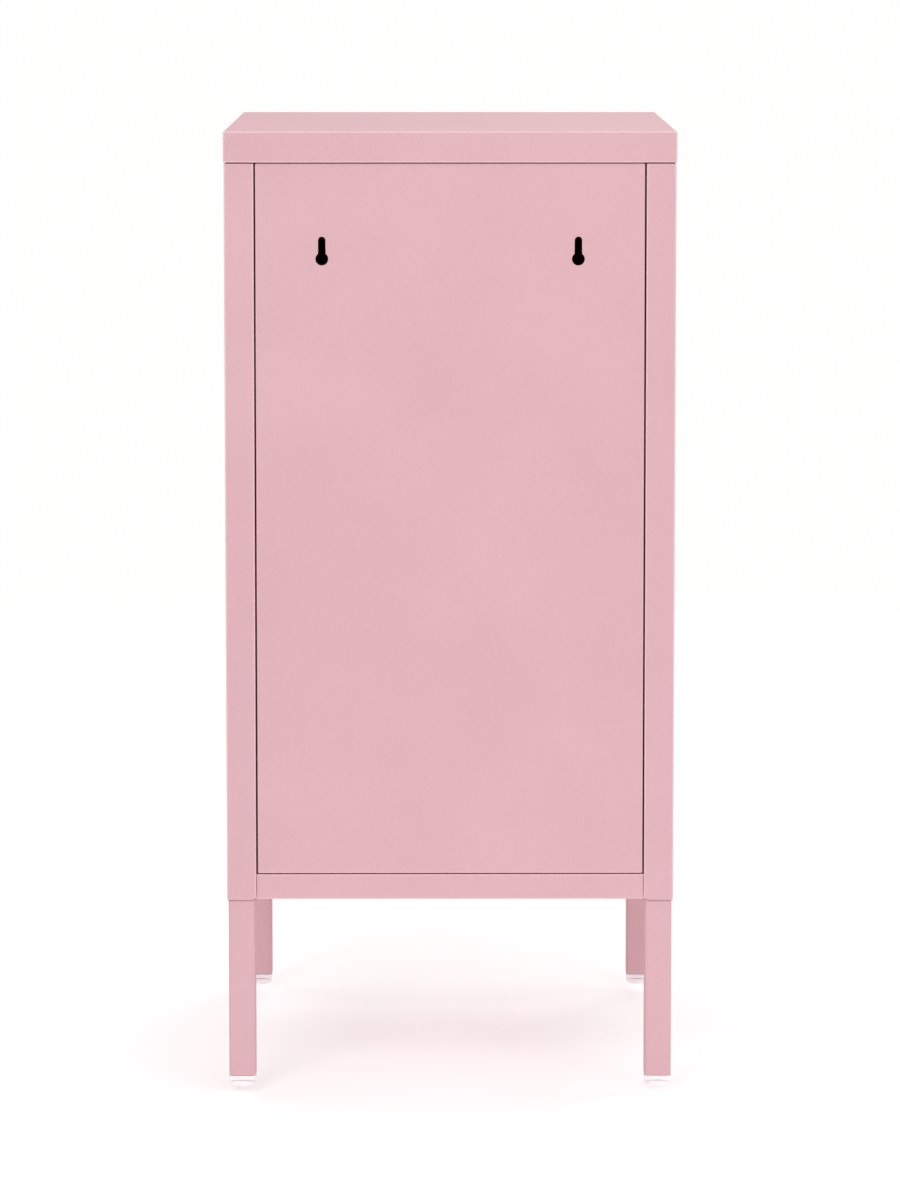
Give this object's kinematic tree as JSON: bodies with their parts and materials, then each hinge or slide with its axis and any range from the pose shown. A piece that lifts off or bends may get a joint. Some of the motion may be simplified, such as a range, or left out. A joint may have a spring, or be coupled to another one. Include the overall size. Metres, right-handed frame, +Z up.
{
  "type": "locker cabinet",
  "caption": "Upright powder-coated steel locker cabinet on square legs, with a shelf and a lockable hinged door, and keyholes in the plain back for fixing it to a wall.",
  "frame": {"origin": "on the floor, at the middle of the whole object's box, knob included", "axes": "+Z up; the door faces -Y and the back with its keyholes faces +Y; +X is to the right for someone facing the door"},
  "size_m": [0.35, 0.422, 0.75],
  "materials": {
    "pink_paint": "fine satin powder coat, pale pink",
    "foot_plastic": "white, slightly translucent moulded plastic",
    "catch_plastic": "white moulded plastic",
    "nylon": "natural nylon",
    "zinc_steel": "bright zinc plate",
    "chrome": "polished chrome plate",
    "rubber": "black moulded rubber",
    "magnet": "dark sintered ferrite"
  },
  "bodies": {
    "carcase": {"back_panel": "pink_paint", "bottom_panel": "pink_paint", "cap_screw_1": "zinc_steel", "cap_screw_2": "zinc_steel", "cap_screw_3": "zinc_steel", "cap_screw_4": "zinc_steel", "catch_housing": "catch_plastic", "catch_magnet": "magnet", "catch_screw_1": "zinc_steel", "catch_screw_2": "zinc_steel", "door_stop_button": "rubber", "front_left_foot_plug": "foot_plastic", "front_left_leg": "pink_paint", "front_left_leg_bolt": "zinc_steel", "front_left_leg_nut": "zinc_steel", "front_right_foot_plug": "foot_plastic", "front_right_leg": "pink_paint", "front_right_leg_bolt": "zinc_steel", "front_right_leg_nut": "zinc_steel", "left_lower_back_screw": "zinc_steel", "left_shelf_rail": "pink_paint", "left_side_panel": "pink_paint", "left_upper_back_screw": "zinc_steel", "lower_hinge_bush": "nylon", "rear_left_foot_plug": "foot_plastic", "rear_left_leg": "pink_paint", "rear_left_leg_bolt": "zinc_steel", "rear_left_leg_nut": "zinc_steel", "rear_right_foot_plug": "foot_plastic", "rear_right_leg": "pink_paint", "rear_right_leg_bolt": "zinc_steel", "rear_right_leg_nut": "zinc_steel", "right_lower_back_screw": "zinc_steel", "right_shelf_rail": "pink_paint", "right_side_panel": "pink_paint", "right_upper_back_screw": "zinc_steel", "shelf": "pink_paint", "top_cap": "pink_paint", "upper_hinge_bush": "nylon"},
    "door": {"door_panel": "pink_paint", "door_stiffener": "pink_paint", "upper_hinge_pin": "zinc_steel", "lower_hinge_pin": "zinc_steel", "door_knob": "pink_paint", "knob_screw": "zinc_steel", "lock_housing": "chrome", "lock_nut": "zinc_steel"},
    "lock": {"lock_plug": "chrome", "lock_cam": "zinc_steel", "cam_screw": "zinc_steel"},
    "front_left_foot_glide": {"front_left_glide": "foot_plastic"},
    "front_right_foot_glide": {"front_right_glide": "foot_plastic"},
    "rear_left_foot_glide": {"rear_left_glide": "foot_plastic"},
    "rear_right_foot_glide": {"rear_right_glide": "foot_plastic"}
  },
  "joints": [
    {"name": "door_hinge", "type": "hinge", "parent": "carcase", "child": "door", "pos_m": [-0.141, -0.183, 0.448], "axis": [0, 0, -1], "range_deg": [0, 115]},
    {"name": "lock_turn", "type": "hinge", "parent": "door", "child": "lock", "pos_m": [0.126, -0.1885, 0.49], "axis": [0, -1, 0], "range_deg": [0, 90]},
    {"name": "front_left_glide_screw", "type": "slide", "parent": "carcase", "child": "front_left_foot_glide", "axis": [0, 0, -1], "range_m": [0, 0.006]},
    {"name": "front_right_glide_screw", "type": "slide", "parent": "carcase", "child": "front_right_foot_glide", "axis": [0, 0, -1], "range_m": [0, 0.006]},
    {"name": "rear_left_glide_screw", "type": "slide", "parent": "carcase", "child": "rear_left_foot_glide", "axis": [0, 0, -1], "range_m": [0, 0.006]},
    {"name": "rear_right_glide_screw", "type": "slide", "parent": "carcase", "child": "rear_right_foot_glide", "axis": [0, 0, -1], "range_m": [0, 0.006]}
  ]
}
